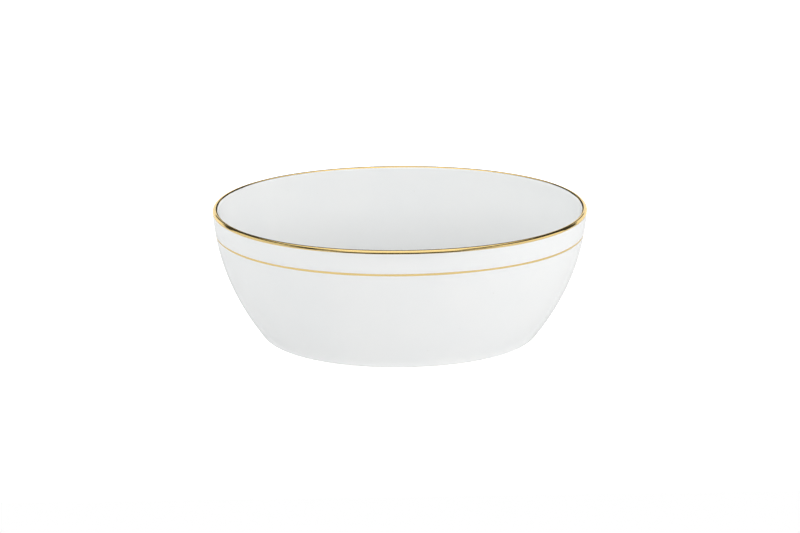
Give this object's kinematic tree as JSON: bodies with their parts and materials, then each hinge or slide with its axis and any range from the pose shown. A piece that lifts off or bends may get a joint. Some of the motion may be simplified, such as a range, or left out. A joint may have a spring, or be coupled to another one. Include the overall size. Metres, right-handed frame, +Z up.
{
  "type": "oval porcelain serving bowl",
  "caption": "Oval open serving bowl in white glazed porcelain with a gold rim band and a fine gold line below it.",
  "frame": {"origin": "centre of the foot ring's resting plane", "axes": "+Z up through the bowl's mouth, +X along the oval's length, +Y across it"},
  "size_m": [0.2488, 0.179, 0.0885],
  "materials": {
    "biscuit": "bare, vitrified, smooth matt",
    "glaze": "clear white, glossy",
    "gold": "burnished liquid gold, mirror bright"
  },
  "bodies": {
    "root": {"porcelain_body": "biscuit", "glaze_coat": "glaze", "recess_glaze": "glaze", "rim_gilding": "gold", "line_gilding": "gold"}
  },
  "joints": []
}
